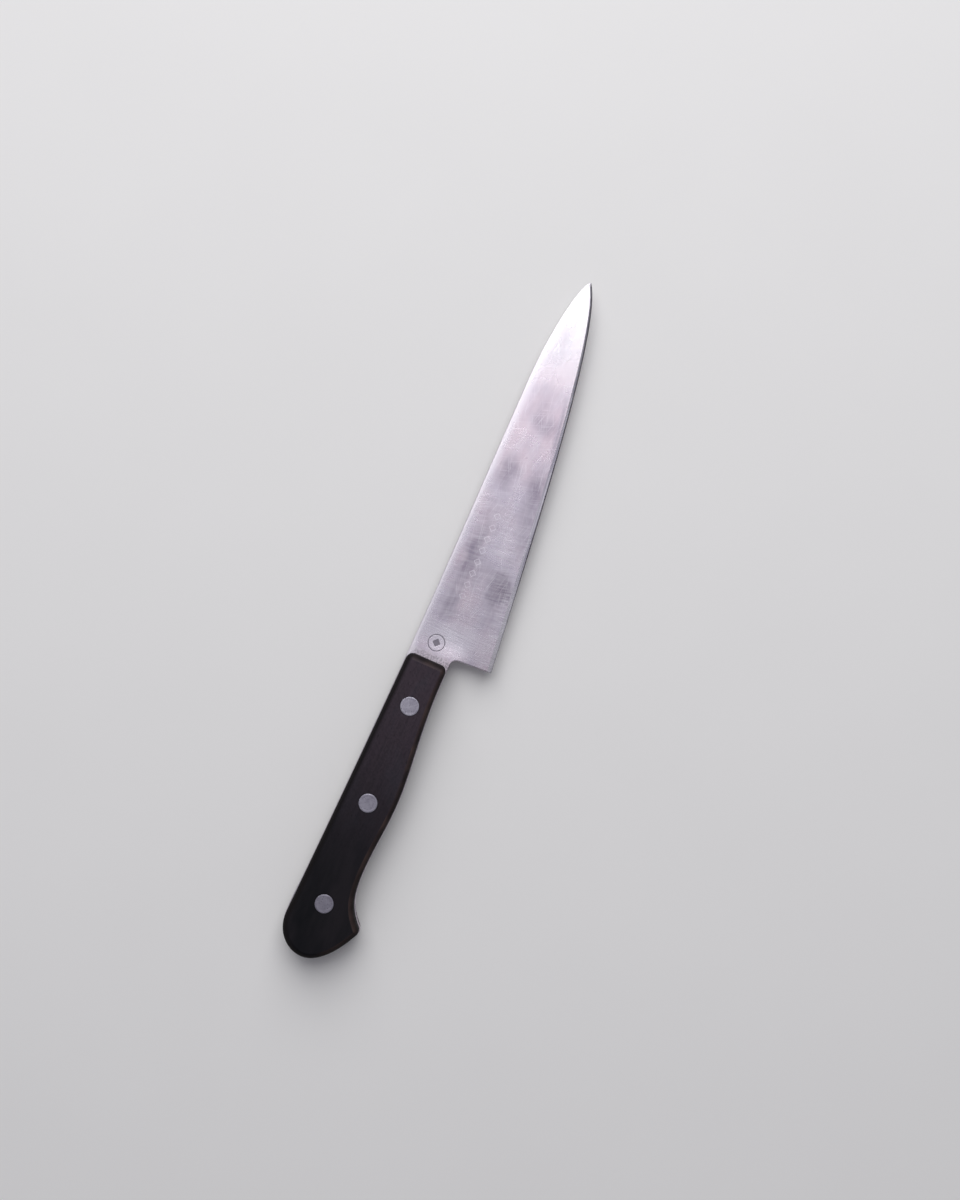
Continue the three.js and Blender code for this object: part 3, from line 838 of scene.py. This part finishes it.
def satin_steel():
    """Stainless blade steel, ground across the blade on a fine wheel and used for years. The
    lines run from spine to edge and are polished away towards the tip, with soft streaks
    along the blade from wiping and cloudy, darker patches. The bevel is brighter, with the
    lines of the stone along it; near the heel it is painted whiter as a highlight, and
    towards the tip its edge is painted dark as a reflection. The spine's eased edge is
    painted lighter as a highlight."""
    material, tree, shader, place = begin_material(
        "satin_ground_stainless_steel", Metallic=1.0
    )
    front = SCALE_HIGH.x
    axis = add(tree, "SeparateXYZ", {0: place})
    from_edge = add(tree, "Attribute", attribute_name="from_edge").outputs["Fac"]
    from_spine = add(tree, "Attribute", attribute_name="from_spine").outputs["Fac"]
    share = add(tree, "Attribute", attribute_name="bevel_share").outputs["Fac"]
    tipwards = worked(tree, "SUBTRACT", axis.outputs[0], front)
    polished = band(tree, tipwards, 45 * MM, 98 * MM, 1.0, 0.08)
    inside_rim = band(tree, from_spine, 0.5, 1.6, 0.1, 1.0)

    # real wheel lines are about 0.1 mm apart: these are coarser, so that they show
    wheel = grain(tree, place, (0.5, 26, 5), turn=0.03, detail=1, low=0.3, high=0.7)
    fine = grain(tree, place, (0.7, 9, 5), turn=-0.14, detail=1, low=0.35, high=0.65)
    wiping = grain(tree, place, (48, 1.6, 9), turn=0.05, detail=2, low=0.35, high=0.7)
    haze = grain(tree, place, (16, 10, 20), detail=2, low=0.35, high=0.65)

    # dull and clear patches, over a colour that is whiter towards the tip
    cloudy = cloudiness(tree, place)
    dull = worked(tree, "MAXIMUM", cloudy, 0.0)
    clear = worked(tree, "MAXIMUM", worked(tree, "MULTIPLY", cloudy, -1.0), 0.0)
    steel = blended(tree, haze, colour("#d8c8d1"), colour("#cdc4d0"))
    whiter = band(tree, tipwards, 98 * MM, 138 * MM, 0.0, 0.8)
    steel = blended(tree, whiter, steel, colour("#d3d1d5"))
    steel = blended(tree, worked(tree, "MULTIPLY", clear, 0.8), steel, colour("#efeaf1"))
    steel = blended(tree, worked(tree, "MULTIPLY", dull, 0.78), steel, colour("#83788a"))
    lines = worked(tree, "MULTIPLY", wheel, polished, inside_rim, 0.3)
    steel = blended(tree, lines, steel, colour("#a8a2af"))
    cross = worked(tree, "MULTIPLY", fine, polished, inside_rim, 0.16)
    steel = blended(tree, cross, steel, colour("#f2eff4"))
    steel = blended(tree, worked(tree, "MULTIPLY", wiping, 0.14), steel, colour("#f0edf2"))

    # the unground neck: duller, with a fine mottle
    neck, pits = mottled_neck(tree, place, tipwards)
    steel = blended(tree, worked(tree, "MULTIPLY", neck, 0.15), steel, colour("#b5afb6"))
    steel = blended(tree, worked(tree, "MULTIPLY", neck, pits, 0.5), steel, colour("#79737d"))

    # the spine's eased edge, painted lighter as a highlight
    spine_painted_highlight = band(tree, from_spine, 0.4, 3.8)
    steel = blended(tree, worked(tree, "MULTIPLY", spine_painted_highlight, 0.75), steel, colour("#f0ecf2"))

    # the bevel, with its painted highlight and painted dark reflection, and a darker streak above
    # it
    bevel = band(tree, share, 0.95, 1.05)
    at_heel = band(tree, axis.outputs[0], front + 15 * MM, front + 55 * MM)
    steel = with_bevel(tree, steel, axis.outputs[0], from_edge, bevel, at_heel)
    steel = with_dark_streak(tree, steel, from_edge, tipwards)

    # long, thin scratches, and short ones across the bevel behind the heel
    scratch = worked(tree, "MULTIPLY", thin_scratches(tree, place), inside_rim)
    steel = blended(tree, worked(tree, "MULTIPLY", scratch, 0.35), steel, colour("#f2eff4"))
    strokes = grain(tree, place, (0.42, 4, 5), turn=-0.2, detail=1, low=0.5, high=0.64)
    reached = band(tree, from_edge, 2.0, 7.5)
    strokes = worked(tree, "MULTIPLY", strokes, reached, at_heel)
    steel = blended(tree, worked(tree, "MULTIPLY", strokes, 0.4), steel, colour("#f6f3f7"))

    mark, row = etchings(tree, place, axis.outputs[2])
    steel = blended(tree, worked(tree, "MULTIPLY", mark, 0.8), steel, colour("#5a5562"))
    steel = blended(tree, worked(tree, "MULTIPLY", row, 0.42), steel, colour("#f4f1f6"))
    tree.links.new(steel, shader.inputs["Base Color"])

    rough = worked(
        tree,
        "ADD",
        0.27,
        worked(tree, "MULTIPLY", worked(tree, "SUBTRACT", wheel, 0.5), polished, 0.06),
        worked(tree, "MULTIPLY", dull, 0.12),
        worked(tree, "MULTIPLY", neck, 0.14),
        worked(tree, "MULTIPLY", mark, 0.2),
        worked(tree, "MULTIPLY", bevel, -0.05),
        worked(tree, "MULTIPLY", band(tree, from_spine, 0.5, 1.6), 0.14),
    )
    tree.links.new(rough, shader.inputs["Roughness"])
    smooth_rim = worked(tree, "MULTIPLY", band(tree, from_spine, 0.8, 4.5, 0.0, 1.0), polished)
    height = worked(
        tree,
        "ADD",
        worked(tree, "MULTIPLY", wheel, smooth_rim),
        worked(tree, "MULTIPLY", fine, smooth_rim, 0.5),
        worked(tree, "MULTIPLY", wiping, smooth_rim, 0.4),
        worked(tree, "MULTIPLY", scratch, -0.8),
        worked(tree, "MULTIPLY", mark, -3.0),
        worked(tree, "MULTIPLY", neck, pits, -3.0),
    )
    bump = add(tree, "Bump", {"Height": height, "Distance": 0.004 * MM, "Strength": 1.0})
    tree.links.new(bump.outputs[0], shader.inputs["Normal"])
    return material


def laminated_wood():
    """Thin veneers soaked in dark resin and pressed, then sanded and oiled. The wood is
    nearly black, with fine brown fibres along the handle, layers that show on the rounded
    sides, and a redder, paler line where the edges have worn, which along the front end is
    also a painted highlight on the crease. The rounded sides are painted near black as
    shade. The front, nearer the window, is painted palest and most purple as light, and
    the butt darkest as painted shade."""
    material, tree, shader, place = begin_material(
        "dark_laminated_wood", **{"Specular IOR Level": 0.14}
    )
    axis = add(tree, "SeparateXYZ", {0: place})
    # painted light: 1 at the handle's front, nearer the window, which is painted paler and more
    # purple; the butt is painted darkest as shade
    front_painted_light = band(tree, axis.outputs[0], SCALE_LOW.x + 25 * MM, SCALE_HIGH.x + 6 * MM, 0.0, 1.0)

    # real fibres, pores and sanding marks are finer: these are coarser, so that they show
    fibres = grain(tree, place, (14, 0.55, 0.7), turn=0.02, detail=4, low=0.3, high=0.7)
    pores = grain(tree, place, (2.2, 0.3, 0.5), detail=2, low=0.6, high=0.74)
    sanding = grain(tree, place, (0.7, 0.9, 0.7), turn=0.8, detail=3, low=0.35, high=0.65)
    tone = grain(tree, place, (20, 6, 9), detail=3, low=0.35, high=0.65)
    bloom = grain(tree, place, (11, 5, 9), detail=3, low=0.45, high=0.7)
    layers = grain(tree, place, (60, 40, 0.55), detail=1, low=0.4, high=0.6)
    rounding = add(tree, "Attribute", attribute_name="rounding").outputs["Fac"]
    wear_and_painted_highlight = add(tree, "Attribute", attribute_name="wear_and_painted_highlight").outputs["Fac"]
    patchy = grain(tree, place, (9, 7, 7), detail=3, low=0.3, high=0.65)
    wear_and_painted_highlight = worked(tree, "MULTIPLY", wear_and_painted_highlight, patchy)

    wood = blended(tree, front_painted_light, colour("#090a0f"), colour("#352c35"))
    wood = blended(tree, worked(tree, "MULTIPLY", tone, 0.45), wood, colour("#272227"))
    wood = blended(tree, worked(tree, "MULTIPLY", bloom, front_painted_light, 0.6), wood, colour("#2b2e36"))
    wood = blended(tree, worked(tree, "MULTIPLY", fibres, front_painted_light, 0.4), wood, colour("#42373f"))
    wood = blended(tree, worked(tree, "MULTIPLY", sanding, front_painted_light, 0.3), wood, colour("#4a3f48"))
    wood = blended(tree, worked(tree, "MULTIPLY", pores, 0.5), wood, colour("#0a0709"))
    # painted shade: the rounded sides darkened to near black
    wood = blended(tree, worked(tree, "MULTIPLY", rounding, 0.88), wood, colour("#070506"))
    wood = blended(
        tree, worked(tree, "MULTIPLY", rounding, layers, 0.25), wood, colour("#1d1516")
    )
    # a redder, paler line: real wear on the edge side, and a painted highlight along the front
    # end's crease
    wood = blended(tree, worked(tree, "MULTIPLY", wear_and_painted_highlight, 0.78), wood, colour("#4e3e3a"))
    tree.links.new(wood, shader.inputs["Base Color"])
    rough = worked(
        tree,
        "ADD",
        0.5,
        worked(tree, "MULTIPLY", tone, 0.08),
        worked(tree, "MULTIPLY", rounding, 0.15),
        worked(tree, "MULTIPLY", pores, 0.15),
        worked(tree, "MULTIPLY", wear_and_painted_highlight, -0.08),
    )
    tree.links.new(rough, shader.inputs["Roughness"])
    height = worked(tree, "ADD", fibres, worked(tree, "MULTIPLY", pores, -1.5))
    bump = add(tree, "Bump", {"Height": height, "Distance": 0.012 * MM, "Strength": 1.0})
    tree.links.new(bump.outputs[0], shader.inputs["Normal"])
    return material


def dull_alloy():
    """Aluminium alloy rivet wire, filed flush with the wood and dulled by washing: a soft
    grey with fine file lines, a few pits and a brighter rim."""
    material, tree, shader, place = begin_material("filed_aluminium_alloy", Metallic=1.0)

    # real file lines are about 0.1 mm apart: these are coarser, so that they show
    file_lines = grain(tree, place, (7, 0.3, 3), turn=0.9, detail=2, low=0.3, high=0.7)
    blotch = grain(tree, place, (2.2, 2.2, 2.2), detail=3, low=0.35, high=0.65)
    pits = grain(tree, place, (0.6, 0.6, 0.6), detail=1, low=0.63, high=0.7)
    scratch = grain(tree, place, (5, 0.12, 3), turn=-0.4, detail=0, low=0.7, high=0.76)
    axis = add(tree, "SeparateXYZ", {0: place})
    # painted shade: the rivets darker towards the butt, away from the window
    butt_painted_shade = band(tree, axis.outputs[0], SCALE_LOW.x + 20 * MM, SCALE_HIGH.x - 25 * MM)
    alloy = blended(tree, blotch, colour("#96929f"), colour("#a8a5b1"))
    alloy = blended(tree, worked(tree, "MULTIPLY", butt_painted_shade, 0.6), alloy, colour("#7b7785"))
    alloy = blended(tree, worked(tree, "MULTIPLY", file_lines, 0.3), alloy, colour("#c4c1cc"))
    alloy = blended(tree, worked(tree, "MULTIPLY", scratch, 0.35), alloy, colour("#dcdae2"))
    alloy = blended(tree, worked(tree, "MULTIPLY", pits, 0.7), alloy, colour("#5e5b66"))
    tree.links.new(alloy, shader.inputs["Base Color"])
    rough = worked(
        tree, "ADD", 0.4, worked(tree, "MULTIPLY", blotch, 0.1), worked(tree, "MULTIPLY", pits, 0.2)
    )
    tree.links.new(rough, shader.inputs["Roughness"])
    height = worked(
        tree,
        "ADD",
        file_lines,
        worked(tree, "MULTIPLY", scratch, -0.8),
        worked(tree, "MULTIPLY", pits, -3.0),
    )
    bump = add(tree, "Bump", {"Height": height, "Distance": 0.005 * MM, "Strength": 1.0})
    tree.links.new(bump.outputs[0], shader.inputs["Normal"])
    return material


def pale_board():
    """Matt painted board: plain and pale, with the slightest unevenness."""
    material, tree, shader, place = begin_material("matt_painted_board", Roughness=0.75)
    mottle = grain(tree, place, (60, 60, 60), detail=3)
    paint = blended(tree, mottle, colour("#ecebea"), colour("#efeeed"))
    tree.links.new(paint, shader.inputs["Base Color"])
    return material


# ---------------------------------------------------------------- the knife


def build_knife():
    """Makes the nine pieces, each with its finish and in place of its CAD node."""
    steel = satin_steel()
    wood = laminated_wood()
    alloy = dull_alloy()

    blade = model_blade()
    settle(blade, steel)
    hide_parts("blade_and_tang")

    right = model_right_scale()
    left = mirrored(right, "left_scale_wood")
    for scale, node in ((right, "right_scale"), (left, "left_scale")):
        finish_scale(scale)
        settle(scale, wood)
        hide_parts(node)

    for place in RIVETS:
        for half, up in (("sleeve", 1), ("pin", -1)):
            node = f"{place}_rivet_{half}"
            rivet = model_rivet(f"{node}_turned", node, up)
            settle(rivet, alloy)
            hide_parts(node)


# ---------------------------------------------------------------- floor, light and camera


def lay_floor():
    """A wide pale board, level with the knife's underside."""
    bpy.ops.object.select_all(action="DESELECT")
    bpy.ops.mesh.primitive_plane_add(size=FLOOR_SIZE, location=(0, 0, cad_box[0][2]))
    floor = bpy.context.object
    floor.name = "floor"
    floor.data.materials.append(pale_board())


def soft_light(name, place, size, brightness, tint):
    """A square soft box that faces the knife. brightness is that of its surface."""
    light = bpy.data.lights.new(name, "AREA")
    light.shape = "RECTANGLE"
    light.size, light.size_y = size
    light.energy = brightness * math.pi * size[0] * size[1]
    light.color = colour(tint)[:3]
    lamp = bpy.data.objects.new(name, light)
    lamp.location = place
    aim = Vector((0.05, 0, 0)) - Vector(place)
    lamp.rotation_euler = aim.to_track_quat("-Z", "Y").to_euler()
    bpy.context.scene.collection.objects.link(lamp)


def light_studio():
    """A large window beyond the tip, a dim, cooler panel overhead, and pale surroundings."""
    world = bpy.data.worlds.new("studio")
    bpy.context.scene.world = world
    world.use_nodes = True
    background = world.node_tree.nodes["Background"]
    background.inputs["Color"].default_value = colour("#e9e9f2")
    background.inputs["Strength"].default_value = 0.25
    window = TIP_UP * 0.92 + Vector((0, 0, 0.97))
    soft_light("window", window, (1.3, 1.5), 2.8, "#ffffff")
    soft_light("overhead", TIP_UP * 0.22 + Vector((0, 0, 1.5)), (1.1, 0.75), 0.45, "#f4f2ff")


def set_camera():
    """Straight above the knife, turned so that the knife leans to the right."""
    camera = bpy.data.cameras.new("camera")
    camera.sensor_fit = "VERTICAL"
    camera.sensor_height = 36
    camera.lens = camera.sensor_height * VIEW_HEIGHT / VIEW_SPAN
    camera.clip_start = 0.01
    viewer = bpy.data.objects.new("camera", camera)
    viewer.location = VIEW_CENTRE + Vector((0, 0, VIEW_HEIGHT))
    viewer.rotation_euler = (0, 0, VIEW_TURN)
    bpy.context.scene.collection.objects.link(viewer)
    bpy.context.scene.camera = viewer
    bpy.context.scene.view_settings.view_transform = "Standard"


set_camera()
light_studio()
lay_floor()
build_knife()
